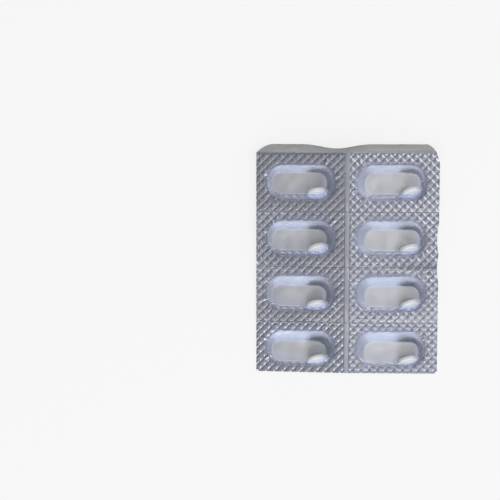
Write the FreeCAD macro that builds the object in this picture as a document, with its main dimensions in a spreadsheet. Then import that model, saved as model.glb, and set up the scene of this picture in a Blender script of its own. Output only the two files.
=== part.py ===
"""Clear blister pack with eight round tablets, lying foil side down with its pockets up."""
import FreeCAD, Part
import Sketcher

import math
import os

Vector = FreeCAD.Vector
Rotation = FreeCAD.Rotation
Placement = FreeCAD.Placement

ORIGIN = Vector(0, 0, 0)
ACROSS_CARD = Vector(1, 0, 0)
UP_CARD = Vector(0, 1, 0)
OUT_OF_FOIL = Vector(0, 0, 1)

# Two levels closer than this are the same one, in millimetres.
SAME_LEVEL = 1e-4
# A half with hollow pockets keeps less than this share of the volume that it has with solid ones.
HOLLOW_SHARE = 0.6
# Cross-sections in each half of the bent margin
MARGIN_SECTIONS = 9
# Halvings that find a tablet's lean
LEAN_HALVINGS = 40
# Directions in which a sliding tablet may meet the walls, and how far one has to face the slide
WALL_BEARINGS = 72
LEAST_FACING = 0.1
# Turns of the tablets' slides in different pockets, counted in steps from the mean turn
SLIDE_STEPS = (-1.5, -0.5, 0.5, 1.5)

document = FreeCAD.newDocument("blister_pack")

# Driving sizes in millimetres and degrees.
# X runs across the card from its middle crease and Y up the card from its fold line.
# Z points out of the foil, towards the pockets.
DRIVING_SIZES = {
    "film_gauge": 0.25,          # clear film of the pockets and their flange
    "foil_gauge": 0.05,          # lidding foil with its lacquer
    "left_width": 40.3,          # middle crease to left edge
    "right_width": 40.3,         # middle crease to right edge
    "crease_angle": 2.5,         # slope of each half, away from the middle crease
    "trim_allowance": 1.5,       # what the blank has outside the cut outline
    "row_count": 4,
    "top_margin": 13.0,          # fold line to the middle of the first row
    "row_pitch": 24.7,
    "bottom_margin": 11.1,       # middle of the last row to the bottom edge
    "left_column": 20.4,         # middle crease to the middle of the left pockets
    "right_column": 19.4,        # middle crease to the middle of the right pockets
    "pocket_length": 29.8,       # where the walls meet the foil, before rounding
    "pocket_width": 15.1,
    "pocket_corner": 6.9,        # radius in plan
    "pocket_height": 9.0,        # foil to the outside of the window
    "draft_angle": 17.5,         # lean of the pocket walls
    "crown_radius": 0.9,         # rounding between wall and window
    "least_inner_crown": 0.15,   # the same rounding on the inside is never sharper
    "root_radius": 1.3,          # rounding between wall and flange
    "score_shift": 0.7,          # score lines lie this far below the middle between two rows
    "score_depth": 0.1,
    "score_width": 0.4,
    "tear_strip": 2.2,           # plain strip between the two upright score lines
    "margin_depth": 7.0,         # bent margin, from the fold line to its free edge
    "margin_bend": 61,           # bend of the margin towards its ends
    "dip_bend": 78,              # bend of the margin where it is pushed in furthest
    "dip_place": -4.8,           # middle of that dip, from the crease
    "dip_reach": 15,             # half the length of the dip
    "left_corner_length": 9.5,   # rounded ends of the bent margin, seen from above
    "left_corner_radius": 11,
    "right_corner_length": 3.9,
    "right_corner_radius": 6.7,
    "clip_width": 1.4,           # cut corner at the right end of the fold line
    "clip_height": 4.4,
    "upper_bite_place": 31,      # fold line to the first of two shallow bites in the right edge
    "upper_bite_length": 13.8,
    "upper_bite_radius": 34,
    "lower_bite_length": 12.5,
    "lower_bite_radius": 32,
    "tablet_diameter": 8.6,
    "tablet_band": 1.3,          # straight side of the tablet
    "tablet_thickness": 3.4,     # over both domes
    "tablet_offset": 6.2,        # pocket middle to the line that the tablet slides down
    "tablet_turn": 15,           # mean turn of that line towards the lower right corner
    "tablet_turn_step": 3,       # how far that turn varies between pockets
    "tablet_clearance": 0.1,     # tablet to film and to foil
}

# Sizes that follow from the driving ones
DERIVED_SIZES = {
    "flat_foil": "=foil_gauge / cos(crease_angle)",
    "half_blank": "=max(left_width; right_width) + trim_allowance",
    "rows_length": "=row_pitch * (row_count - 1)",
    "card_height": "=top_margin + rows_length + bottom_margin",
    "blank_height": "=card_height + trim_allowance",
    "blank_drop": "=half_blank * tan(crease_angle)",
    "blank_underside": "=blank_drop + flat_foil",
    "hollow_length": "=pocket_length - 2 * film_gauge / cos(draft_angle)",
    "hollow_width": "=pocket_width - 2 * film_gauge / cos(draft_angle)",
    "hollow_corner": "=pocket_corner - film_gauge / cos(draft_angle)",
    "hollow_height": "=pocket_height - film_gauge",
    "inner_crown": "=max(least_inner_crown; crown_radius - film_gauge)",
    "mouth_radius": "=root_radius + film_gauge",
    "score_place": "=top_margin + row_pitch / 2 + score_shift",
    "score_upper": "=score_place - score_width / 2",
    "score_lower": "=score_place + score_width / 2",
    "score_floor": "=film_gauge - score_depth",
    "score_count": "=row_count - 1",
    "scores_length": "=row_pitch * (row_count - 2)",
    "tear_line": "=tear_strip / 2",
    "tear_line_near": "=tear_line - score_width / 2",
    "tear_line_far": "=tear_line + score_width / 2",
    "blank_width": "=2 * half_blank",
    "outline_top": "=margin_depth * cos(margin_bend) + film_gauge",
    "left_corner_end": "=left_width - left_corner_length",
    "fold_end": "=right_width - clip_width",
    "right_corner_end": "=fold_end - right_corner_length",
    "upper_bite_end": "=upper_bite_place + upper_bite_length",
    "lower_bite_end": "=upper_bite_end + lower_bite_length",
    "cutter_height": "=2 * (margin_depth + pocket_height + blank_drop)",
    "tablet_radius": "=tablet_diameter / 2",
    "half_band": "=tablet_band / 2",
    "half_thickness": "=tablet_thickness / 2",
    "dome_radius": "=(tablet_radius ^ 2 + (half_thickness - half_band) ^ 2) / (2 * (half_thickness - half_band))",
}


def fill_sheet():
    """Write every size into the document's sheet under its own name."""
    sheet = document.addObject("Spreadsheet::Sheet", "sizes")
    rows = list(DRIVING_SIZES.items()) + list(DERIVED_SIZES.items())
    for row, (name, content) in enumerate(rows, start=1):
        sheet.set(f"A{row}", name)
        sheet.set(f"B{row}", str(content))
        sheet.setAlias(f"B{row}", name)
    document.recompute()
    return sheet


sizes = fill_sheet()


def number(name):
    """The size of that name. A leading minus turns its sign, and no name is zero."""
    if not name:
        return 0
    if name.startswith("-"):
        return -sizes.get(name[1:])
    return sizes.get(name)


def formula(name):
    """The same size, as the expression that binds a property to the sheet."""
    if name.startswith("-"):
        return "-sizes." + name[1:]
    return "sizes." + name


def bind(feature, **names):
    """Bind properties of a feature to sizes."""
    for property_name, size_name in names.items():
        feature.setExpression(property_name, formula(size_name))


# Sketches

def origin_item(body, role):
    """One of the body's own origin planes or axes."""
    return next(item for item in body.Origin.OriginFeatures if item.Role == role)


def new_sketch(body, name, role):
    """A sketch on one of the body's origin planes."""
    sketch = body.newObject("Sketcher::SketchObject", name)
    sketch.AttachmentSupport = [(origin_item(body, role), "")]
    sketch.MapMode = "FlatFace"
    return sketch


def hold(sketch, kind, where, size_name):
    """Add a dimension and bind it to a size."""
    index = sketch.addConstraint(Sketcher.Constraint(kind, *where, number(size_name)))
    sketch.setExpression(f"Constraints[{index}]", formula(size_name))


def hold_point(sketch, point, place):
    """Fix a point by the names of its two sizes. An empty name puts it on the sketch's axis."""
    sketch_origin = (-1, 1)
    for kind, size_name, axis in zip(("DistanceX", "DistanceY"), place, (-2, -1)):
        if size_name:
            hold(sketch, kind, sketch_origin + point, size_name)
        else:
            sketch.addConstraint(Sketcher.Constraint("PointOnObject", *point, axis))


def arc_through(start, end, radius, swell):
    """Short arc from start to end. It swells to the right of its way for 1 and to the left for -1."""
    chord = end - start
    aside = Vector(chord.y, -chord.x, 0).normalize()
    rise = radius - math.sqrt(radius ** 2 - (chord.Length / 2) ** 2)
    return Part.Arc(start, (start + end) / 2 + aside * swell * rise, end)


def draw_outline(sketch, corners, arcs=None):
    """Closed anticlockwise outline through corners named by their sizes.

    An edge in arcs is round: it has the name of its radius, and 1 for a swell outwards or -1 for a bite.
    """
    arcs = arcs or {}
    points = [Vector(number(across), number(up), 0) for across, up in corners]
    ends = []
    for edge, start in enumerate(points):
        end = points[(edge + 1) % len(points)]
        radius_name, swell = arcs.get(edge, ("", 0))
        if swell:
            sketch.addGeometry(arc_through(start, end, number(radius_name), swell))
        else:
            sketch.addGeometry(Part.LineSegment(start, end))
        ends.append((2, 1) if swell < 0 else (1, 2))
    for edge, corner in enumerate(corners):
        following = (edge + 1) % len(corners)
        meeting = (edge, ends[edge][1], following, ends[following][0])
        sketch.addConstraint(Sketcher.Constraint("Coincident", *meeting))
        hold_point(sketch, (edge, ends[edge][0]), corner)
        if edge in arcs:
            hold(sketch, "Radius", (edge,), arcs[edge][0])


def draw_rounded_rectangle(sketch, middle, length_name, width_name, corner_name):
    """Rounded rectangle about a named middle. Its even edges are the sides and its odd ones the corners."""
    centre = Vector(number(middle[0]), number(middle[1]), 0)
    radius = number(corner_name)
    reach_x = number(length_name) / 2 - radius
    reach_y = number(width_name) / 2 - radius
    arcs = []
    for turn, (right, up) in enumerate(((1, -1), (1, 1), (-1, 1), (-1, -1))):
        circle = Part.Circle(centre + Vector(right * reach_x, up * reach_y, 0), OUT_OF_FOIL, radius)
        start = (turn - 1) * math.pi / 2
        arcs.append(Part.ArcOfCircle(circle, start, start + math.pi / 2))
    for turn, arc in enumerate(arcs):
        sketch.addGeometry(Part.LineSegment(arcs[turn - 1].EndPoint, arc.StartPoint))
        sketch.addGeometry(arc)
    for edge in range(8):
        sketch.addConstraint(Sketcher.Constraint("Tangent", edge, 2, (edge + 1) % 8, 1))
    for edge, kind in ((0, "Horizontal"), (2, "Vertical"), (4, "Horizontal"), (6, "Vertical")):
        sketch.addConstraint(Sketcher.Constraint(kind, edge))
    for edge in (3, 5, 7):
        sketch.addConstraint(Sketcher.Constraint("Equal", 1, edge))
    middle_point = sketch.addGeometry(Part.Point(centre), True)
    sketch.addConstraint(Sketcher.Constraint("Symmetric", 1, 3, 5, 3, middle_point, 1))
    hold_point(sketch, (middle_point, 1), middle)
    hold(sketch, "Radius", (1,), corner_name)
    hold(sketch, "DistanceX", (6, 1, 2, 1), length_name)
    hold(sketch, "DistanceY", (0, 1, 4, 1), width_name)


# Features

def add_pad(body, name, sketch, length_name):
    """Raise a sketch's outline into a solid."""
    pad = body.newObject("PartDesign::Pad", name)
    pad.Profile = sketch
    bind(pad, Length=length_name)
    document.recompute()
    return pad


def cut_pocket(body, name, sketch, length_name, both_ways=False):
    """Cut a sketch's outline out of the body, along the sketch's normal or to both sides of it."""
    cut = body.newObject("PartDesign::Pocket", name)
    cut.Profile = sketch
    cut.Reversed = not both_ways
    cut.Midplane = both_ways
    bind(cut, Length=length_name)
    document.recompute()
    return cut


def repeat_down_card(body, feature, name, length_name, count_name):
    """Repeat a feature down the card."""
    pattern = body.newObject("PartDesign::LinearPattern", name)
    pattern.Originals = [feature]
    pattern.Direction = (origin_item(body, "Y_Axis"), [""])
    pattern.Reversed = True
    bind(pattern, Length=length_name, Occurrences=count_name)
    body.Tip = pattern
    document.recompute()
    return pattern


def ring_edges(shape, level):
    """Names of the edges that lie flat at one level round the pockets, not round the whole blank."""
    names = []
    for index, edge in enumerate(shape.Edges, start=1):
        box = edge.BoundBox
        lies_flat = abs(box.ZMin - level) < SAME_LEVEL and abs(box.ZMax - level) < SAME_LEVEL
        if lies_flat and edge.Length < number("pocket_length"):
            names.append(f"Edge{index}")
    return names


def round_rings(body, base, name, level, radius_name):
    """Round the pockets' edges at one level."""
    fillet = body.newObject("PartDesign::Fillet", name)
    fillet.Base = (base, ring_edges(base.Shape, level))
    bind(fillet, Radius=radius_name)
    document.recompute()
    return fillet


# Film

def film_half(side, sign):
    """One flat half of the film with its column of pockets, then sloped down from the crease.

    sign is "-" for the left half and empty for the right one.
    """
    body = document.addObject("PartDesign::Body", side + "_film")
    past_crease, past_edge = ("trim_allowance", "-half_blank") if sign else ("-trim_allowance", "half_blank")
    blank = new_sketch(body, side + "_blank", "XY_Plane")
    draw_outline(blank, [(past_crease, "-blank_height"), (past_edge, "-blank_height"),
                         (past_edge, ""), (past_crease, "")])
    add_pad(body, side + "_flange", blank, "film_gauge")

    first_pocket = (sign + side + "_column", "-top_margin")
    outside = new_sketch(body, side + "_pocket_outside", "XY_Plane")
    draw_rounded_rectangle(outside, first_pocket, "pocket_length", "pocket_width", "pocket_corner")
    dome = add_pad(body, side + "_dome", outside, "pocket_height")
    bind(dome, TaperAngle="-draft_angle")
    domes = repeat_down_card(body, dome, side + "_domes", "rows_length", "row_count")
    crowns = round_rings(body, domes, side + "_crowns", number("pocket_height"), "crown_radius")
    roots = round_rings(body, crowns, side + "_roots", number("film_gauge"), "root_radius")

    inside = new_sketch(body, side + "_pocket_inside", "XY_Plane")
    draw_rounded_rectangle(inside, first_pocket, "hollow_length", "hollow_width", "hollow_corner")
    hollow = cut_pocket(body, side + "_hollow", inside, "hollow_height")
    bind(hollow, TaperAngle="-draft_angle")
    solid_volume = roots.Shape.Volume
    hollows = repeat_down_card(body, hollow, side + "_hollows", "rows_length", "row_count")
    if hollows.Shape.Volume > HOLLOW_SHARE * solid_volume:
        raise ValueError("the pockets aren't hollow")
    inner_crowns = round_rings(body, hollows, side + "_inner_crowns", number("hollow_height"), "inner_crown")
    round_rings(body, inner_crowns, side + "_mouths", 0, "mouth_radius")

    cut_scores(body, side, sign)
    slope = -number("crease_angle") if sign else number("crease_angle")
    body.Placement = Placement(ORIGIN, Rotation(UP_CARD, slope))
    document.recompute()
    return body


def cut_scores(body, side, sign):
    """V-shaped score lines: one beside the crease, and one between each two rows."""
    upright = new_sketch(body, side + "_tear_profile", "XZ_Plane")
    draw_outline(upright, [(sign + "tear_line", "score_floor"), (sign + "tear_line_far", "film_gauge"),
                           (sign + "tear_line_near", "film_gauge")])
    cut_pocket(body, side + "_tear_line", upright, "blank_height")
    level = new_sketch(body, side + "_score_profile", "YZ_Plane")
    draw_outline(level, [("-score_place", "score_floor"), ("-score_upper", "film_gauge"),
                         ("-score_lower", "film_gauge")])
    score = cut_pocket(body, side + "_score", level, "blank_width", both_ways=True)
    repeat_down_card(body, score, side + "_scores", "scores_length", "score_count")


def one_side(body, side, sign):
    """What a half has on its own side of the crease."""
    keep = document.addObject("Part::Box", side + "_side")
    bind(keep, Length="blank_width", Width="blank_height", Height="cutter_height")
    left_end = -number("blank_width") if sign else 0
    keep.Placement.Base = Vector(left_end, -number("blank_height"), -number("cutter_height") / 2)
    half = document.addObject("Part::Common", side + "_half")
    half.Base = body
    half.Tool = keep
    return half


# Bent margin

def margin_bend(place):
    """Bend of the margin at a place across the card. Round its dip the margin is pushed in further."""
    off_dip = (place - number("dip_place")) / number("dip_reach")
    bend = number("margin_bend")
    if abs(off_dip) < 1:
        bend += (number("dip_bend") - bend) * math.cos(off_dip * math.pi / 2) ** 2
    return math.radians(bend)


def margin_section(place, underside, topside):
    """Cross-section of one layer of the margin, between two heights above the back of the film."""
    bend = margin_bend(place)
    slope = math.radians(number("crease_angle"))
    fold_drop = abs(place) * math.tan(slope)
    depth = number("margin_depth")

    def at_fold(height):
        return Vector(place, height * math.tan(bend / 2), height / math.cos(slope) - fold_drop)

    def at_edge(height):
        return Vector(place, depth * math.cos(bend) + height * math.sin(bend),
                      height * math.cos(bend) - depth * math.sin(bend) - fold_drop)

    corners = [at_fold(underside), at_edge(underside), at_edge(topside), at_fold(topside)]
    if topside > 0:
        corners.append(Vector(place, 0, topside / math.cos(slope) - fold_drop))
    return Part.makePolygon(corners + corners[:1])


def margin_layer(name, end, underside, topside):
    """One layer of the margin, lofted from the crease to one end of the card."""
    feature = document.addObject("Part::Feature", name)
    places = [end * step / (MARGIN_SECTIONS - 1) for step in range(MARGIN_SECTIONS)]
    outlines = [margin_section(place, underside, topside) for place in places]
    feature.Shape = Part.makeLoft(outlines, True, False)
    return feature


def margins(name, underside, topside):
    """The margin's layer on both sides of the crease."""
    end = number("half_blank")
    return [margin_layer(name + "_margin_left", -end, underside, topside),
            margin_layer(name + "_margin_right", end, underside, topside)]


# Cut outline of the card

def cut_outline():
    """Everything inside the line that the card was cut along."""
    body = document.addObject("PartDesign::Body", "cut_outline")
    outline = new_sketch(body, "outline", "XY_Plane")
    corners = [
        ("-left_width", "-card_height"),
        ("right_width", "-card_height"),
        ("right_width", "-lower_bite_end"),
        ("right_width", "-upper_bite_end"),
        ("right_width", "-upper_bite_place"),
        ("right_width", "-clip_height"),
        ("fold_end", ""),
        ("right_corner_end", "outline_top"),
        ("-left_corner_end", "outline_top"),
        ("-left_width", ""),
    ]
    arcs = {
        2: ("lower_bite_radius", -1),
        3: ("upper_bite_radius", -1),
        6: ("right_corner_radius", 1),
        8: ("left_corner_radius", 1),
    }
    draw_outline(outline, corners, arcs)
    cutter = add_pad(body, "outline_height", outline, "cutter_height")
    cutter.Midplane = True
    document.recompute()
    return body


def trimmed(name, pieces, outline):
    """Join the pieces of a sheet and cut them to the card's outline."""
    joined = document.addObject("Part::MultiFuse", name + "_blank")
    joined.Shapes = pieces
    joined.Refine = True
    sheet = document.addObject("Part::Common", name)
    sheet.Base = joined
    sheet.Tool = outline
    document.recompute()
    return sheet


def film_sheet(outline):
    """Thermoformed film with its eight pockets and bent margin."""
    halves = [one_side(film_half(side, sign), side, sign) for side, sign in (("left", "-"), ("right", ""))]
    return trimmed("pocket_sheet", halves + margins("film", 0, number("film_gauge")), outline)


def foil_sheet(outline):
    """Lidding foil, face to face with the back of the film."""
    body = document.addObject("PartDesign::Body", "foil")
    profile = new_sketch(body, "foil_profile", "XZ_Plane")
    draw_outline(profile, [("-half_blank", "-blank_underside"), ("", "-flat_foil"),
                           ("half_blank", "-blank_underside"), ("half_blank", "-blank_drop"),
                           ("", ""), ("-half_blank", "-blank_drop")])
    add_pad(body, "foil_layer", profile, "blank_height")
    return trimmed("foil_lid", [body] + margins("foil", -number("foil_gauge"), 0), outline)


# Tablets

def tablet_body(name):
    """Round tablet with a straight band and two domes, about its own middle."""
    body = document.addObject("PartDesign::Body", name)
    profile = new_sketch(body, name + "_profile", "XZ_Plane")
    draw_outline(profile, [("", "-half_thickness"), ("tablet_radius", "-half_band"),
                           ("tablet_radius", "half_band"), ("", "half_thickness")],
                 {0: ("dome_radius", 1), 2: ("dome_radius", 1)})
    turned = body.newObject("PartDesign::Revolution", name + "_form")
    turned.Profile = profile
    turned.ReferenceAxis = (profile, ["V_Axis"])
    turned.Angle = 360
    document.recompute()
    return body


def tablet_reach(off_axis):
    """How far the tablet reaches from its middle, in a direction that far off its axis in radians."""
    radius = number("tablet_radius")
    dome = number("dome_radius")
    if off_axis < math.asin(radius / dome):
        return dome + (number("half_thickness") - dome) * math.cos(off_axis)
    return radius * math.sin(off_axis) + number("half_band") * math.cos(off_axis)


def tablet_lean():
    """Lean at which a tablet just fits between the foil and the window, in radians."""
    room = number("hollow_height") / 2 - number("tablet_clearance")
    low, high = 0, math.pi / 2
    for halving in range(LEAN_HALVINGS):
        lean = (low + high) / 2
        if tablet_reach(lean) < room:
            low = lean
        else:
            high = lean
    return low


def tablet_seat(turn):
    """Placement of a tablet from the middle of its pocket, on the foil.

    The tablet leans against the window and has slid towards the lower right corner, turned by turn
    degrees from straight down, until it is a clearance away from the walls.
    """
    lean = tablet_lean()
    draft = math.radians(number("draft_angle"))
    height = tablet_reach(lean) + number("tablet_clearance")
    slide = Vector(math.sin(math.radians(turn)), -math.cos(math.radians(turn)), 0)
    axis = slide * math.sin(lean) + OUT_OF_FOIL * math.cos(lean)
    corner = number("hollow_corner")
    round_x = number("hollow_length") / 2 - corner
    round_y = number("hollow_width") / 2 - corner
    start = Vector(number("tablet_offset"), 0, 0)
    travel = number("pocket_length")
    for step in range(WALL_BEARINGS):
        bearing = 2 * math.pi * step / WALL_BEARINGS
        aside = Vector(math.cos(bearing), math.sin(bearing), 0)
        if aside.dot(slide) < LEAST_FACING:
            continue
        wall_normal = aside * math.cos(draft) + OUT_OF_FOIL * math.sin(draft)
        wall = Vector(math.copysign(round_x, aside.x), math.copysign(round_y, aside.y), 0) + aside * corner
        reach = tablet_reach(math.acos(abs(wall_normal.dot(axis)))) + number("tablet_clearance")
        gap = wall_normal.dot(wall - start) - height * math.sin(draft) - reach
        travel = min(travel, gap / (aside.dot(slide) * math.cos(draft)))
    middle = start + slide * travel + OUT_OF_FOIL * height
    facing = Rotation(OUT_OF_FOIL, turn).multiply(Rotation(ACROSS_CARD, math.degrees(lean)))
    return Placement(middle, facing)


def lay_tablets(rest):
    """A tablet in every pocket."""
    for row in range(int(number("row_count"))):
        for column, side in enumerate(("left", "right")):
            sign = 1 if side == "right" else -1
            across = sign * number(side + "_column")
            down = number("top_margin") + row * number("row_pitch")
            slide_step = SLIDE_STEPS[(2 * row + 3 * column) % len(SLIDE_STEPS)]
            turn = number("tablet_turn") + number("tablet_turn_step") * slide_step
            slope = Placement(ORIGIN, Rotation(UP_CARD, sign * number("crease_angle")))
            pocket = Placement(Vector(across, -down, 0), Rotation())
            tablet = tablet_body(f"tablet_r{row + 1}_c{column + 1}")
            tablet.Placement = rest * slope * pocket * tablet_seat(turn)


# Rest and export

def resting_tilt(shape):
    """Turn about the bottom edge that brings the bent margin down to the floor, in degrees."""
    points = [vertex.Point for vertex in shape.Vertexes]
    bottom = -number("card_height")
    foot = min((point for point in points if abs(point.y - bottom) < SAME_LEVEL), key=lambda point: point.z)
    reaches = [point - foot for point in points if point.y > bottom / 2]
    return math.degrees(max(math.atan2(-reach.z, reach.y) for reach in reaches))


def resting_placement(film, foil):
    """Lie the card on its bottom corners and its bent margin, with the middle of its box at the origin."""
    turn = Placement(ORIGIN, Rotation(ACROSS_CARD, resting_tilt(foil.Shape)))
    lying = Part.makeCompound([film.Shape, foil.Shape])
    lying.Placement = turn
    box = lying.optimalBoundingBox(False)
    return Placement(Vector(-box.Center.x, -box.Center.y, -box.ZMin), Rotation()) * turn


def check_document():
    """Stop if any feature failed or any shape isn't valid."""
    for item in document.Objects:
        if "Invalid" in item.State or "Error" in item.State:
            raise ValueError(f"{item.Label} failed: {item.State}")
        if hasattr(item, "Shape") and item.isDerivedFrom("Part::Feature"):
            if item.Shape.isNull() or not item.Shape.isValid():
                raise ValueError(f"{item.Label} has no valid shape")


def write_parts(pieces):
    """Write each piece to a file of its own."""
    os.makedirs("parts", exist_ok=True)
    for piece in pieces:
        solids = len(piece.Shape.Solids)
        if solids != 1:
            raise ValueError(f"{piece.Label} has {solids} solids")
        piece.Shape.exportStep(f"parts/{piece.Label}.step")
        print(f"{piece.Label}: {piece.Shape.Volume:.1f} mm3")


def build():
    """Model the pack and write its pieces."""
    outline = cut_outline()
    film = film_sheet(outline)
    foil = foil_sheet(outline)
    rest = resting_placement(film, foil)
    film.Placement = rest
    foil.Placement = rest
    lay_tablets(rest)
    document.recompute()
    check_document()
    tablets = [item for item in document.Objects if item.TypeId == "PartDesign::Body"
               and item.Label.startswith("tablet_r")]
    write_parts([film, foil] + tablets)


build()
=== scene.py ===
# %% [markdown]
# # A clear blister pack of white tablets
# The CAD model gives every size: the formed film, the foil behind it and the eight loose tablets. This
# lesson gives them their looks. The frame is loaded first, and everything is fitted to it, so nothing has
# to be measured or moved by eye. Lengths are in metres, as everywhere in Blender.

import math

import bmesh
import bpy
from mathutils import Matrix, Vector, noise


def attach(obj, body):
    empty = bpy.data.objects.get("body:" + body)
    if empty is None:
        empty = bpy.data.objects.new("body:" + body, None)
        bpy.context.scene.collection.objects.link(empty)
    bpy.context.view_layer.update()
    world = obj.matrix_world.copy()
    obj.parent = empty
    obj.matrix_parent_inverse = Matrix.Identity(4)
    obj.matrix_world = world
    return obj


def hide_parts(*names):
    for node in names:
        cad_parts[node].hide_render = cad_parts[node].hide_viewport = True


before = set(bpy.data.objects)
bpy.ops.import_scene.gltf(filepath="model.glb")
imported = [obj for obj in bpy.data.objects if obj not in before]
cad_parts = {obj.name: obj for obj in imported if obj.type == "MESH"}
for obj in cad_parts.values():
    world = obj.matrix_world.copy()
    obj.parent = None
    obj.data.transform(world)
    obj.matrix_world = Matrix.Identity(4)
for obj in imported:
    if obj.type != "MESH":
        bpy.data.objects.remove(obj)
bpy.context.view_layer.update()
MM = 0.001
tablet_nodes = sorted(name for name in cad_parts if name.startswith("tablet_"))
print("nodes:", len(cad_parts), "of them tablets:", len(tablet_nodes))

# %% [markdown]
# ## The card's own axes
# The pack lies on its bottom corners and its bent-back margin, so the card is tipped a little. Its halves
# also slope away from the crease down the middle. Patterns such as the knurl follow the card and not the
# floor, so one matrix carries places from the card's axes to the frame: X across from the crease, Y up
# from the fold line, and Z out of the foil.

# %% Sizes of the card
CARD_TILT = math.radians(3.322)
CREASE_SLOPE = math.radians(2.5)
FOLD_MIDDLE = Vector((0, 47.003, 7.497)) * MM
CARD_HEIGHT = 98.2 * MM
HALF_WIDTH = 40.3 * MM
ROW_COUNT = 4
FIRST_ROW = 13.0 * MM
ROW_PITCH = 24.7 * MM
COLUMNS = (-20.4 * MM, 19.4 * MM)
POCKET_LENGTH = 29.8 * MM
POCKET_WIDTH = 15.1 * MM
POCKET_CORNER = 6.9 * MM
SCORE_SHIFT = 0.7 * MM
TEAR_STRIP = 2.2 * MM

card_to_frame = Matrix.Translation(FOLD_MIDDLE) @ Matrix.Rotation(CARD_TILT, 4, "X")
frame_to_card = card_to_frame.inverted()


def outside_pockets(x, y):
    """Distance from a place on the card to the nearest pocket's outline, negative inside it."""
    distances = []
    for column in COLUMNS:
        for row in range(ROW_COUNT):
            off_x = max(abs(x - column) - POCKET_LENGTH / 2 + POCKET_CORNER, 0)
            off_y = max(abs(y + FIRST_ROW + row * ROW_PITCH) - POCKET_WIDTH / 2 + POCKET_CORNER, 0)
            distances.append(math.hypot(off_x, off_y) - POCKET_CORNER)
    return min(distances)


print("crease to pocket:", round(outside_pockets(0, -FIRST_ROW) / MM, 2), "mm")

# %% [markdown]
# ## A clean copy of a CAD piece
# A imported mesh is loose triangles, each with its own corners, so light can't run smoothly over a rounding.
# A copy is welded and marked sharp only where it really turns. The copy then stands for the node, which
# keeps its place in the model.


# %% Copy and weld a node
WELD = 0.0005 * MM


def welded_copy(node):
    """The node's mesh in a new bmesh, with the corners of its triangles joined."""
    shape = bmesh.new()
    shape.from_mesh(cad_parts[node].data)
    bmesh.ops.remove_doubles(shape, verts=shape.verts, dist=WELD)
    return shape


def place_piece(shape, name, node, sharp_from):
    """Make the bmesh an object that stands for the node, sharp where it turns more than that angle."""
    mesh = bpy.data.meshes.new(name)
    shape.to_mesh(mesh)
    shape.free()
    mesh.shade_smooth()
    mesh.set_sharp_from_angle(angle=math.radians(sharp_from))
    piece = bpy.data.objects.new(name, mesh)
    bpy.context.scene.collection.objects.link(piece)
    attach(piece, "root")
    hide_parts(node)
    print(name, "has", len(mesh.polygons), "faces")
    return piece


# %% [markdown]
# ## The formed film
# Clear film is drawn into eight pockets, so it is one continuous skin with soft roundings. The CAD node has
# its exact shape, score lines included. Welding is all that it needs.

# %% Film
film = place_piece(welded_copy("pocket_sheet"), "clear_film", "pocket_sheet", sharp_from=32)

# %% [markdown]
# ## The knurled foil
# A heated roller with a diamond knurl presses the foil onto the film, but not over the pockets. The lines
# of a knurl are straight, so the foil is cut along them: the middle of each line and its two edges, in both
# directions. What lies between the lines is then lifted into the film, and the lines stay low. A cut halfway
# up each slope lets smooth shading turn the cells into small cushions, which catch the light wherever they
# lie. More cuts stop the knurl cleanly at the score lines and at the plain strip down the middle.

# %% Knurl of the foil
KNURL_SPACING = 2.6 * MM
KNURL_EDGE = 0.62 * MM
KNURL_CUTS = (-1, -0.5, 0, 0.5, 1)
KNURL_LIFT = 0.17 * MM
SEAL_LIFT = 0.03 * MM
KNURL_UNEVEN = 0.018 * MM
UNEVEN_PER_CELL = 2
SEAL_OVERLAP = 0.015 * MM
FADE = 0.4 * MM
PLAIN_ABOVE = -0.4 * MM
SCORE_GAP = 0.1 * MM
STRIP_LEVEL = 0.55
ROOT_REACH = 0.6 * MM
KNURL_REACH = CARD_HEIGHT + HALF_WIDTH
SCORE_PLACES = [-FIRST_ROW - (row + 0.5) * ROW_PITCH - SCORE_SHIFT for row in range(ROW_COUNT - 1)]
DIAGONALS = (Vector((1, 1, 0)).normalized(), Vector((1, -1, 0)).normalized())


def cut_foil(shape, place, across):
    """Cut every face of the foil along an upright plane."""
    everything = shape.verts[:] + shape.edges[:] + shape.faces[:]
    bmesh.ops.bisect_plane(shape, geom=everything, dist=WELD, plane_co=place, plane_no=across)


def cut_along_knurl(shape):
    """Cut the foil along the middle and the edges of every knurl line, and where the knurl stops."""
    lines = math.ceil(KNURL_REACH / KNURL_SPACING)
    for across in DIAGONALS:
        for line in range(-lines, lines):
            for share in KNURL_CUTS:
                aside = share * KNURL_EDGE
                cut_foil(shape, across * (line * KNURL_SPACING + aside), across)
    for edge in (TEAR_STRIP / 2, TEAR_STRIP / 2 + FADE):
        for side in (-1, 1):
            cut_foil(shape, Vector((side * edge, 0, 0)), Vector((1, 0, 0)))
    stops = [PLAIN_ABOVE, PLAIN_ABOVE - FADE]
    for score in SCORE_PLACES:
        stops += [score + side * edge for edge in (SCORE_GAP, SCORE_GAP + FADE) for side in (-1, 1)]
    for stop in stops:
        cut_foil(shape, Vector((0, stop, 0)), Vector((0, 1, 0)))


def off_knurl_line(place):
    """Distance to the nearest line of the knurl."""
    distances = []
    for across in DIAGONALS:
        off_line = place.dot(across) % KNURL_SPACING
        distances.append(min(off_line, KNURL_SPACING - off_line))
    return min(distances)


def sealed_share(place):
    """1 where the roller pressed the foil, 0 over the pockets and past the fold line."""
    room = min(outside_pockets(place.x, place.y) - ROOT_REACH, PLAIN_ABOVE - place.y)
    return min(max(room / FADE, 0), 1)


def knurl_share(place):
    """1 where the knurl has its full depth, 0 on the tear strip and the score lines."""
    off_score = min(abs(place.y - score) for score in SCORE_PLACES)
    room = min(abs(place.x) - TEAR_STRIP / 2, off_score - SCORE_GAP)
    return min(max(room / FADE, 0), 1)


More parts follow.
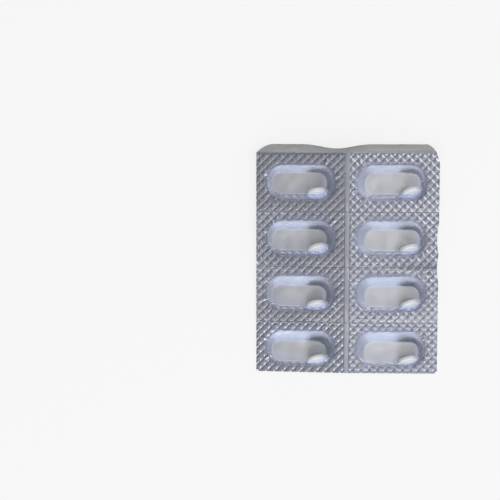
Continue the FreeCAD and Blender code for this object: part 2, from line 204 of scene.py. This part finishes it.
def press_knurl(shape):
    """Lift the cells of the knurl between its lines."""
    for vert in shape.verts:
        slope = min(off_knurl_line(vert.co) / KNURL_EDGE, 1) - STRIP_LEVEL
        level = STRIP_LEVEL + slope * knurl_share(vert.co)
        uneven = KNURL_UNEVEN * noise.noise(vert.co / KNURL_SPACING * UNEVEN_PER_CELL)
        vert.co.z += (SEAL_LIFT + KNURL_LIFT * level + uneven) * sealed_share(vert.co)


# %% [markdown]
# Over the pockets the foil is free. It is slack there, with soft dents a few millimetres across. Smooth noise
# makes them, because nothing in them is straight or regular.

# %% Slack foil behind the pockets
SLACK_DEPTH = 0.16 * MM
SLACK_SIZE = 5.0 * MM
SLACK_EDGE = 1.5 * MM


def slacken(shape):
    """Dent the foil softly behind each pocket."""
    for vert in shape.verts:
        inside = -outside_pockets(vert.co.x, vert.co.y)
        if inside > 0:
            share = min(inside / SLACK_EDGE, 1)
            vert.co.z += SLACK_DEPTH * share * noise.noise(vert.co / SLACK_SIZE)


foil_shape = welded_copy("foil_lid")
foil_shape.normal_update()
for vert in foil_shape.verts:
    vert.co += vert.normal * SEAL_OVERLAP
foil_shape.transform(frame_to_card)
cut_along_knurl(foil_shape)
press_knurl(foil_shape)
slacken(foil_shape)
foil_shape.transform(card_to_frame)
foil = place_piece(foil_shape, "knurled_foil", "foil_lid", sharp_from=40)

# %% [markdown]
# ## Tablets
# A pressed tablet has a rolled edge where its dome meets its band, from the gap round the punch. The CAD
# tablet has a sharp one, so a Bevel modifier softens each copy.

# %% Tablets
ROLLED_EDGE = 0.22 * MM
EDGE_SEGMENTS = 3
EDGE_TURN = math.radians(25)


def soft_tablet(node):
    """Copy of a tablet with its edges rolled."""
    tablet = place_piece(welded_copy(node), node.replace("tablet", "pressed_tablet"), node, sharp_from=60)
    bevel = tablet.modifiers.new("rolled edge", "BEVEL")
    bevel.width = ROLLED_EDGE
    bevel.segments = EDGE_SEGMENTS
    bevel.limit_method = "ANGLE"
    bevel.angle_limit = EDGE_TURN
    return tablet


tablets = [soft_tablet(node) for node in tablet_nodes]

# %% [markdown]
# ## Materials
# Node trees grow long when every node is set by hand, so a few helpers come first. One adds a node with its
# inputs set and linked, one makes an empty material, one sends a shader to its output, and one dresses a
# piece in a material.


# %% Helpers for materials
def add_node(tree, kind, links=None, settings=None, **values):
    """A node of that kind, with inputs set by values and linked from other nodes' outputs."""
    node = tree.nodes.new(kind)
    for name, value in (settings or {}).items():
        setattr(node, name, value)
    for name, value in values.items():
        node.inputs[name.replace("_", " ")].default_value = value
    for name, output in (links or {}).items():
        tree.links.new(output, node.inputs[name])
    return node


def new_material(name):
    """A material with nothing in its node tree."""
    material = bpy.data.materials.new(name)
    material.use_nodes = True
    material.node_tree.nodes.clear()
    return material


def finish_with(material, shader):
    """Send a shader to the material's output."""
    output = material.node_tree.nodes.new("ShaderNodeOutputMaterial")
    material.node_tree.links.new(shader, output.inputs["Surface"])


def dress(piece, material):
    """Give a piece one material."""
    piece.data.materials.clear()
    piece.data.materials.append(material)
    print(piece.name, "is dressed in", material.name)


# %% [markdown]
# Masks are arithmetic on places, so the next helpers do sums with node outputs, as Python does with numbers.
# An input is either a fixed value, which is set on its socket, or another node's output, which is linked.


# %% Helpers for sums
def fill_sockets(tree, sockets, inputs, fixed_kinds):
    """Set each socket to its input, or link it if the input is another node's output."""
    for socket, value in zip(sockets, inputs):
        if isinstance(value, fixed_kinds):
            socket.default_value = value
        else:
            tree.links.new(value, socket)


def math_node(tree, operation, first, second=0.0):
    """A sum of two numbers."""
    node = add_node(tree, "ShaderNodeMath", settings={"operation": operation})
    fill_sockets(tree, node.inputs, (first, second), (int, float))
    return node.outputs[0]


def vector_node(tree, operation, first, second=(0, 0, 0)):
    """A sum of two vectors, whose result is a number for LENGTH and a vector otherwise."""
    node = add_node(tree, "ShaderNodeVectorMath", settings={"operation": operation})
    fill_sockets(tree, node.inputs, (first, second), tuple)
    return node.outputs["Value"] if operation == "LENGTH" else node.outputs["Vector"]


def wrapped(tree, value, half_period):
    """The value wrapped into one period round zero."""
    node = add_node(tree, "ShaderNodeMath", {0: value}, {"operation": "WRAP"})
    node.inputs[1].default_value = half_period
    node.inputs[2].default_value = -half_period
    return node.outputs[0]


def smooth_range(tree, value, start, end):
    """0 at the start value and 1 at the end value, with a smooth run between."""
    node = add_node(tree, "ShaderNodeMapRange", {"Value": value}, {"interpolation_type": "SMOOTHSTEP"},
                    From_Min=start, From_Max=end)
    return node.outputs["Result"]


def straight_range(tree, value, span, results):
    """The first result at the start of the span and the second at its end, with a straight run between."""
    node = add_node(tree, "ShaderNodeMapRange", {"Value": value},
                    From_Min=span[0], From_Max=span[1], To_Min=results[0], To_Max=results[1])
    return node.outputs["Result"]


# %% [markdown]
# The last helpers mix and read things: two values or two colours by a share, the place on a piece, the parts
# of a vector, noise, and the normals that a height gives through a Bump node.

# %% Helpers for mixing and reading
# A Mix node has a socket A and B of every kind, so the colour ones are found by number.
COLOUR_SOCKETS = (6, 7)
MIXED_COLOUR = 2


def mix_values(tree, share, first, second):
    """The first output where the share is 0 and the second where it is 1."""
    return add_node(tree, "ShaderNodeMix", {"Factor": share, "A": first, "B": second}).outputs["Result"]


def mix_colours(tree, share, first, second):
    """Mix of two colours, each a fixed colour or another node's output."""
    mix = add_node(tree, "ShaderNodeMix", {"Factor": share}, {"data_type": "RGBA"})
    fill_sockets(tree, [mix.inputs[number] for number in COLOUR_SOCKETS], (first, second), tuple)
    return mix.outputs[MIXED_COLOUR]


def object_place(tree):
    """The place on the piece, in its own axes, which are the frame's."""
    return add_node(tree, "ShaderNodeTexCoord").outputs["Object"]


def parts_of(tree, vector):
    """The vector's X, Y and Z."""
    return add_node(tree, "ShaderNodeSeparateXYZ", {"Vector": vector}).outputs


def noise_node(tree, place, scale, detail):
    """Noise with about that many bumps to a metre."""
    return add_node(tree, "ShaderNodeTexNoise", {"Vector": place}, Scale=scale, Detail=detail).outputs["Fac"]


def bumped(tree, height, depth, strength=1.0):
    """Normals of a surface that rises by that depth where the height is 1."""
    bump = add_node(tree, "ShaderNodeBump", {"Height": height}, Strength=strength, Distance=depth)
    return bump.outputs["Normal"]


# %% [markdown]
# ## Places round the pockets
# Foil and film both change at the pockets, so one node group tells them where they are. It could hold a
# shape for every pocket, but all the pockets are alike: the group wraps the card into a single one, and
# finds the nearest point of its outline and the distance to it.

# %% Nearest pocket
def nearest_pocket(tree, on_card):
    """Distance outside the nearest pocket, the way outwards, and the nearest point of its outline."""
    parts = parts_of(tree, on_card)
    is_right = math_node(tree, "GREATER_THAN", parts["X"], 0.0)
    column_step = math_node(tree, "MULTIPLY", is_right, COLUMNS[1] - COLUMNS[0])
    column = math_node(tree, "ADD", column_step, COLUMNS[0])
    off_column = math_node(tree, "SUBTRACT", parts["X"], column)
    off_row = wrapped(tree, math_node(tree, "ADD", parts["Y"], FIRST_ROW), ROW_PITCH / 2)
    in_pocket = add_node(tree, "ShaderNodeCombineXYZ", {"X": off_column, "Y": off_row}).outputs["Vector"]
    core = (POCKET_LENGTH / 2 - POCKET_CORNER, POCKET_WIDTH / 2 - POCKET_CORNER, 0.0)
    nearest = vector_node(tree, "MINIMUM", in_pocket, core)
    nearest = vector_node(tree, "MAXIMUM", nearest, tuple(-reach for reach in core))
    off_core = vector_node(tree, "SUBTRACT", in_pocket, nearest)
    outside = math_node(tree, "SUBTRACT", vector_node(tree, "LENGTH", off_core), POCKET_CORNER)
    outwards = vector_node(tree, "NORMALIZE", off_core)
    rim = vector_node(tree, "MULTIPLY", outwards, (POCKET_CORNER,) * 3)
    foot = vector_node(tree, "ADD", nearest, rim)
    pocket_middle = vector_node(tree, "SUBTRACT", on_card, in_pocket)
    return outside, outwards, vector_node(tree, "ADD", foot, pocket_middle)


# %% [markdown]
# Sealing pulls creases into the sheet at the round corners of each pocket. They could be drawn one by one,
# but noise does it too: read at the nearest point of the outline, it is constant straight outwards, so its
# ridges run away from the pocket as real creases do.

# %% Creases at the pockets' corners
CREASE_SCALE = 520.0
CREASE_RIDGE = (0.56, 0.70)
CREASE_REACH = 5.0 * MM
CREASE_START = 0.3 * MM
ROUND_CORNER = (0.05, 0.3)


def crease_mask(tree, outside, outwards, foot):
    """Ridges that run outwards from the pockets' round corners and fade."""
    flat_foot = vector_node(tree, "MULTIPLY", foot, (1, 1, 0))
    ridge = smooth_range(tree, noise_node(tree, flat_foot, CREASE_SCALE, 1.0), *CREASE_RIDGE)
    fade = smooth_range(tree, outside, CREASE_REACH, CREASE_START)
    beside = smooth_range(tree, outside, -CREASE_START, CREASE_START)
    way_out = parts_of(tree, outwards)
    slant = math_node(tree, "ABSOLUTE", math_node(tree, "MULTIPLY", way_out["X"], way_out["Y"]))
    round_corner = smooth_range(tree, slant, *ROUND_CORNER)
    return math_node(tree, "MULTIPLY", math_node(tree, "MULTIPLY", ridge, fade),
                     math_node(tree, "MULTIPLY", beside, round_corner))


# %% [markdown]
# The film takes the roller's knurl too, more softly than the foil, so the group also tells how far a place
# is from the knurl's lines. The knurl ends at the pockets' roots, at the strip down the middle and at the
# fold line.

# %% Knurl as a mask
def off_strip(tree, parts):
    """Distance to the edge of the strip down the middle, negative on it."""
    return math_node(tree, "SUBTRACT", math_node(tree, "ABSOLUTE", parts["X"]), TEAR_STRIP / 2)


def knurl_mask(tree, on_card, outside):
    """1 on the cells of the knurl, and 0 on its lines and wherever it wasn't pressed."""
    off_lines = []
    for across in DIAGONALS:
        turned = parts_of(tree, vector_node(tree, "MULTIPLY", on_card, tuple(across)))
        along = math_node(tree, "ADD", turned["X"], turned["Y"])
        off_lines.append(math_node(tree, "ABSOLUTE", wrapped(tree, along, KNURL_SPACING / 2)))
    off_line = math_node(tree, "MINIMUM", *off_lines)
    parts = parts_of(tree, on_card)
    below_fold = math_node(tree, "SUBTRACT", PLAIN_ABOVE, parts["Y"])
    flat = math_node(tree, "MINIMUM", below_fold, off_strip(tree, parts))
    flange = math_node(tree, "SUBTRACT", outside, ROOT_REACH)
    pressed = smooth_range(tree, math_node(tree, "MINIMUM", flat, flange), 0.0, FADE)
    return math_node(tree, "MULTIPLY", smooth_range(tree, off_line, 0.0, KNURL_EDGE), pressed)


# %% [markdown]
# The score lines look dark, because their steep cuts turn away from the lamps. That shade is painted into the
# foil's colour along them and along the edges of the strip. Past the fold line the margin has no knurl and a
# duller foil, and the strip down the middle is plain. Each gets a mask of its own.

# %% Score lines, margin and strip
MARGIN_START = (-0.1 * MM, 0.2 * MM)
# Painted shade along the score lines fades out between these two distances from them.
CUT_SHADE_EDGE = (0.34 * MM, 0.1 * MM)
STRIP_EDGE = 0.3 * MM


def score_masks(tree, parts):
    """Masks of the painted shade along the score lines and the strip's edges, of the bent margin and of the
    strip down the middle.
    """
    to_strip = off_strip(tree, parts)
    off_cut = math_node(tree, "ABSOLUTE", to_strip)
    for score in SCORE_PLACES:
        off_score = math_node(tree, "ABSOLUTE", math_node(tree, "SUBTRACT", parts["Y"], score))
        off_cut = math_node(tree, "MINIMUM", off_cut, off_score)
    margin = smooth_range(tree, parts["Y"], *MARGIN_START)
    below_margin = math_node(tree, "SUBTRACT", 1.0, margin)
    # Painted shade: 1 along the score lines and the strip's edges, where the foil's colour is darkened.
    cut_shade = math_node(tree, "MULTIPLY", smooth_range(tree, off_cut, *CUT_SHADE_EDGE), below_margin)
    strip = math_node(tree, "MULTIPLY", smooth_range(tree, to_strip, 0.0, -STRIP_EDGE), below_margin)
    return cut_shade, margin, strip


# %% [markdown]
# The group puts the masks together and adds the height over the foil, from which the film's material tells a
# window from the flange. Mapping carries the place to the card's axes first. A group may be used by any
# number of materials, so the work is done once.

# %% Node group
def pocket_places_group():
    """Node group of the masks that film and foil share."""
    group = bpy.data.node_groups.new("pocket_places", "ShaderNodeTree")
    for name in ("Outside", "Crease", "Height", "Knurl", "Cut", "Margin", "Strip"):
        group.interface.new_socket(name, in_out="OUTPUT", socket_type="NodeSocketFloat")
    place = object_place(group)
    to_card = add_node(group, "ShaderNodeMapping", {"Vector": place}, {"vector_type": "TEXTURE"},
                       Location=FOLD_MIDDLE, Rotation=(CARD_TILT, 0, 0))
    on_card = to_card.outputs["Vector"]
    parts = parts_of(group, on_card)
    outside, outwards, foot = nearest_pocket(group, on_card)
    drop = math_node(group, "MULTIPLY", math_node(group, "ABSOLUTE", parts["X"]), math.tan(CREASE_SLOPE))
    cut_shade, margin, strip = score_masks(group, parts)
    add_node(group, "NodeGroupOutput", {
        "Outside": outside,
        "Crease": crease_mask(group, outside, outwards, foot),
        "Height": math_node(group, "ADD", parts["Z"], drop),
        "Knurl": knurl_mask(group, on_card, outside),
        # The Cut output marks the painted shade along the score lines and the strip's edges.
        "Cut": cut_shade,
        "Margin": margin,
        "Strip": strip,
    })
    return group


pocket_places = pocket_places_group()
print("group nodes:", len(pocket_places.nodes))


def places_in(tree):
    """The group placed in a material."""
    return add_node(tree, "ShaderNodeGroup", settings={"node_tree": pocket_places}).outputs


# %% [markdown]
# ## Finish of the foil
# The foil is aluminium with a heat-seal lacquer. The roller melts the lacquer clear, so the sealed foil
# shines. Behind the pockets it stays milky: duller and a little lighter. Fine crinkles and the creases round
# the pockets go into one Bump node, and the margin has streaks along it instead.

# %% Foil material
SEALED_FOIL = (0.50, 0.50, 0.51, 1)
SLACK_FOIL = (0.73, 0.72, 0.71, 1)
MARGIN_FOIL = (0.56, 0.56, 0.56, 1)
# Painted shade: the darker colour laid on the foil along the score lines and the strip's edges.
CUT_SHADE_FOIL = (0.34, 0.35, 0.37, 1)
SEAL_EDGE = 0.4 * MM
STRIP_MILKINESS = 0.4
CLOUD_SCALE = 160.0
SEALED_ROUGHNESS = (0.20, 0.34)
MILKY_ROUGHER = 0.22
CRINKLE_SCALE = 700.0
STREAK_SCALE = 1500.0
STREAK_STRETCH = (0.06, 1.0, 1.0)
FOIL_CREASES = 4.0
RELIEF = 0.04 * MM


def foil_relief(tree, places):
    """Normals of the crinkles, of the creases at the pockets and of the margin's streaks."""
    place = object_place(tree)
    crinkle = noise_node(tree, place, CRINKLE_SCALE, 3.0)
    streaks = noise_node(tree, vector_node(tree, "MULTIPLY", place, STREAK_STRETCH), STREAK_SCALE, 1.0)
    texture = mix_values(tree, places["Margin"], crinkle, streaks)
    creases = math_node(tree, "MULTIPLY", places["Crease"], FOIL_CREASES)
    return bumped(tree, math_node(tree, "ADD", texture, creases), RELIEF)


def foil_material():
    """Satin aluminium foil, clear where it is sealed and milky behind the pockets, with painted shade along
    the score lines.
    """
    material = new_material("aluminium_foil")
    tree = material.node_tree
    places = places_in(tree)
    slack = smooth_range(tree, places["Outside"], SEAL_EDGE, -SEAL_EDGE)
    milky = math_node(tree, "MAXIMUM", slack, math_node(tree, "MULTIPLY", places["Strip"], STRIP_MILKINESS))
    clouds = noise_node(tree, object_place(tree), CLOUD_SCALE, 2.0)
    sealed_rough = straight_range(tree, clouds, (0.0, 1.0), SEALED_ROUGHNESS)
    dull = math_node(tree, "MAXIMUM", milky, places["Margin"])
    rough = math_node(tree, "ADD", sealed_rough, math_node(tree, "MULTIPLY", dull, MILKY_ROUGHER))
    tone = mix_colours(tree, milky, SEALED_FOIL, SLACK_FOIL)
    tone = mix_colours(tree, places["Margin"], tone, MARGIN_FOIL)
    # Painted shade along the score lines and the strip's edges.
    tone = mix_colours(tree, places["Cut"], tone, CUT_SHADE_FOIL)
    looks = {"Normal": foil_relief(tree, places), "Roughness": rough, "Base Color": tone}
    shader = add_node(tree, "ShaderNodeBsdfPrincipled", looks, Metallic=1.0)
    finish_with(material, shader.outputs["BSDF"])
    return material


dress(foil, foil_material())

# %% [markdown]
# ## Finish of the film
# The film is clear plastic with a blue tint. It is thickest on the flange, nearly colourless where it is
# drawn thin in the windows, and bluest in the walls, which are seen along their length. A darker blue line
# round the roots of the pockets is painted shade.

# %% Tint of the film
FLANGE_TINT = (0.86, 0.88, 0.97, 1)
WINDOW_TINT = (0.985, 0.985, 0.99, 1)
MARGIN_TINT = (0.86, 0.86, 0.87, 1)
WALL_TINT = (0.79, 0.825, 0.915, 1)
# Painted shade: a darker blue line round the roots of the pockets.
ROOT_SHADE_TINT = (0.76, 0.79, 0.88, 1)
WALL_FACING = (0.9, 0.45)
DRAWN_HEIGHT = (0.6 * MM, 4.0 * MM)
ROOT_START = (0.28 * MM, 0.45 * MM)
ROOT_END = (1.5 * MM, 0.7 * MM)


def film_tint(tree, places):
    """Tint of flange and windows, then of what turns down as a wall does, of the painted shade at the roots
    and of the margin.
    """
    facing = add_node(tree, "ShaderNodeTexCoord").outputs["Normal"]
    level = math_node(tree, "ABSOLUTE", parts_of(tree, facing)["Z"])
    drawn = smooth_range(tree, places["Height"], *DRAWN_HEIGHT)
    # Painted shade: a darker ring where the film leaves the flange at each pocket's root.
    root = math_node(tree, "MULTIPLY", smooth_range(tree, places["Height"], *ROOT_START),
                     smooth_range(tree, places["Height"], *ROOT_END))
    tint = mix_colours(tree, drawn, FLANGE_TINT, WINDOW_TINT)
    tint = mix_colours(tree, smooth_range(tree, level, *WALL_FACING), tint, WALL_TINT)
    # Painted shade at the roots.
    tint = mix_colours(tree, root, tint, ROOT_SHADE_TINT)
    return mix_colours(tree, places["Margin"], tint, MARGIN_TINT)


# %% [markdown]
# Rays from the camera bend in the film as in glass. Rays that light what lies behind it pass straight
# through with the same tint, because bent ones would need far more samples to come out clean. Light Path
# tells the two kinds apart.

# %% Film material
FILM_ROUGHNESS = 0.06
FILM_IOR = 1.53
FILM_CREASES = 1.2
RIPPLE_SCALE = 420.0
RIPPLE_SHARE = 0.5


def film_relief(tree, places):
    """Normals of the knurl and the creases as the film takes them, with faint ripples."""
    ripple = noise_node(tree, object_place(tree), RIPPLE_SCALE, 2.0)
    creases = math_node(tree, "MULTIPLY", places["Crease"], FILM_CREASES)
    pulled = math_node(tree, "ADD", places["Knurl"], creases)
    height = math_node(tree, "ADD", pulled, math_node(tree, "MULTIPLY", ripple, RIPPLE_SHARE))
    return bumped(tree, height, RELIEF)


def film_material():
    """Clear plastic film with a blue tint that follows its thickness."""
    material = new_material("clear_plastic_film")
    tree = material.node_tree
    places = places_in(tree)
    tint = film_tint(tree, places)
    looks = {"Base Color": tint, "Normal": film_relief(tree, places)}
    clear = add_node(tree, "ShaderNodeBsdfPrincipled", looks,
                     Roughness=FILM_ROUGHNESS, IOR=FILM_IOR, Transmission_Weight=1.0)
    passing = add_node(tree, "ShaderNodeBsdfTransparent", {"Color": tint})
    rays = add_node(tree, "ShaderNodeLightPath").outputs
    bounced = math_node(tree, "MAXIMUM", rays["Is Diffuse Ray"], rays["Is Glossy Ray"])
    unbent = math_node(tree, "MAXIMUM", bounced, rays["Is Shadow Ray"])
    mix = add_node(tree, "ShaderNodeMixShader",
                   {0: unbent, 1: clear.outputs["BSDF"], 2: passing.outputs["BSDF"]})
    finish_with(material, mix.outputs["Shader"])
    return material


dress(film, film_material())

# %% [markdown]
# ## Finish of the tablets
# A tablet is pressed powder: white, dull and faintly grainy. One fine noise gives both its bumps and its
# small differences in white.

# %% Tablet material
GRAIN_SCALE = 4000.0
GRAIN_DEPTH = 0.05 * MM
GRAIN_STRENGTH = 0.3
POWDER_TONES = ((0.88, 0.88, 0.86, 1), (0.95, 0.95, 0.94, 1))
POWDER_ROUGHNESS = 0.6


def tablet_material():
    """White pressed powder."""
    material = new_material("pressed_white_powder")
    tree = material.node_tree
    grain = noise_node(tree, object_place(tree), GRAIN_SCALE, 4.0)
    tone = add_node(tree, "ShaderNodeValToRGB", {"Fac": grain})
    for stop, colour in zip(tone.color_ramp.elements, POWDER_TONES):
        stop.color = colour
    looks = {"Normal": bumped(tree, grain, GRAIN_DEPTH, GRAIN_STRENGTH), "Base Color": tone.outputs["Color"]}
    shader = add_node(tree, "ShaderNodeBsdfPrincipled", looks, Roughness=POWDER_ROUGHNESS)
    finish_with(material, shader.outputs["BSDF"])
    return material


powder = tablet_material()
for tablet in tablets:
    dress(tablet, powder)

# %% [markdown]
# ## Floor, light and camera
# The floor is plain and pale. What the camera sees of it is mostly its own soft glow, so that it stays
# nearly white without stronger lamps, and the rest takes the pack's shadow.

# %% Floor
FLOOR_SIZE = 3.0
FLOOR_PAINT = (0.85, 0.85, 0.85, 1)
GLOW_SHARE = 0.8


def floor_material():
    """Pale floor that glows for the camera and still takes shadows."""
    material = new_material("pale_floor")
    tree = material.node_tree
    paint = add_node(tree, "ShaderNodeBsdfDiffuse", Color=FLOOR_PAINT)
    glow = add_node(tree, "ShaderNodeEmission", Color=(1, 1, 1, 1), Strength=1.0)
    rays = add_node(tree, "ShaderNodeLightPath").outputs
    seen = math_node(tree, "MAXIMUM", rays["Is Camera Ray"], rays["Is Transmission Ray"])
    share = math_node(tree, "MULTIPLY", seen, GLOW_SHARE)
    mix = add_node(tree, "ShaderNodeMixShader",
                   {0: share, 1: paint.outputs["BSDF"], 2: glow.outputs["Emission"]})
    finish_with(material, mix.outputs["Shader"])
    return material


floor_shape = bmesh.new()
bmesh.ops.create_grid(floor_shape, x_segments=1, y_segments=1, size=FLOOR_SIZE / 2)
floor_mesh = bpy.data.meshes.new("floor")
floor_shape.to_mesh(floor_mesh)
floor_shape.free()
floor = bpy.data.objects.new("floor", floor_mesh)
bpy.context.scene.collection.objects.link(floor)
dress(floor, floor_material())

# %% [markdown]
# The knurl shows only where its slopes mirror something lighter or darker than the flat foil does, so the
# lamps are few and soft. A panel stands to the upper right, and a wide one past the pack's bottom edge does
# what a white table does. A weak low lamp past the top edge draws the thin lines along the windows without
# flooding the walls. A low one opposite lights the faces of the tablets, and one at the right lights the
# walls that face it.

# %% Lamps
LAMP_DISTANCE = 1.0


def soft_lamp(name, bearing, elevation, size, brightness):
    """Square lamp that faces the pack. In degrees, bearing 0 is past its top edge and 90 to its right."""
    lamp = bpy.data.lights.new(name, "AREA")
    lamp.size = size
    lamp.energy = brightness * math.pi * size ** 2
    holder = bpy.data.objects.new(name, lamp)
    bpy.context.scene.collection.objects.link(holder)
    way = math.radians(bearing)
    rise = math.radians(elevation)
    level = LAMP_DISTANCE * math.cos(rise)
    place = Vector((level * math.sin(way), level * math.cos(way), LAMP_DISTANCE * math.sin(rise)))
    holder.location = place
    holder.rotation_euler = place.to_track_quat("Z", "Y").to_euler()
    print(name, "has", round(lamp.energy, 2), "W")


soft_lamp("top_light", bearing=4, elevation=13, size=0.42, brightness=1.3)
soft_lamp("right_panel", bearing=68, elevation=62, size=0.42, brightness=2.3)
soft_lamp("table_bounce", bearing=180, elevation=46, size=0.55, brightness=2.4)
soft_lamp("front_fill", bearing=188, elevation=18, size=0.50, brightness=2.2)
soft_lamp("right_fill", bearing=92, elevation=18, size=0.40, brightness=1.6)

# %% [markdown]
# The sky is plain grey. It darkens to the left, which gives the cells of the knurl a dark side, and it
# brightens towards the bottom edge of the pack. Both runs are straight ones, multiplied together.

# %% Sky
SKY_ACROSS = (-0.6, 0.1)
GREY_ACROSS = (0.16, 0.50)
SKY_ALONG = (0.1, -0.4)
SHARE_ALONG = (0.78, 1.65)

world = bpy.data.worlds.new("studio")
world.use_nodes = True
bpy.context.scene.world = world
sky = world.node_tree
direction = parts_of(sky, add_node(sky, "ShaderNodeTexCoord").outputs["Generated"])
across_sky = straight_range(sky, direction["X"], SKY_ACROSS, GREY_ACROSS)
along_sky = straight_range(sky, direction["Y"], SKY_ALONG, SHARE_ALONG)
grey = math_node(sky, "MULTIPLY", across_sky, along_sky)
sky.links.new(grey, sky.nodes["Background"].inputs["Color"])
print("sky nodes:", len(sky.nodes))

# %% [markdown]
# The camera stands above the pack and a little towards its top, as in the photograph, with the pack right
# of the middle of the picture. Its place was found from the card's corners and the pockets' windows.

# %% Camera
PIXELS = 500
FOCAL_PIXELS = 1300
SENSOR = 36.0
CAMERA_PLACE = Vector((2.26, 35.73, 580.64)) * MM
LOOK = Vector((-0.0783, -0.0551, -0.9954))
UPWARDS = Vector((-0.0081, 0.9985, -0.0546))

camera_data = bpy.data.cameras.new("camera")
camera_data.sensor_width = SENSOR
camera_data.lens = SENSOR * FOCAL_PIXELS / PIXELS
camera = bpy.data.objects.new("camera", camera_data)
bpy.context.scene.collection.objects.link(camera)
back = -LOOK.normalized()
right = UPWARDS.cross(back).normalized()
up = back.cross(right)
turn = Matrix((right, up, back)).transposed()
camera.matrix_world = Matrix.Translation(CAMERA_PLACE) @ turn.to_4x4()
bpy.context.scene.camera = camera
bpy.context.scene.view_settings.view_transform = "Standard"
print("lens:", round(camera_data.lens, 1), "mm")
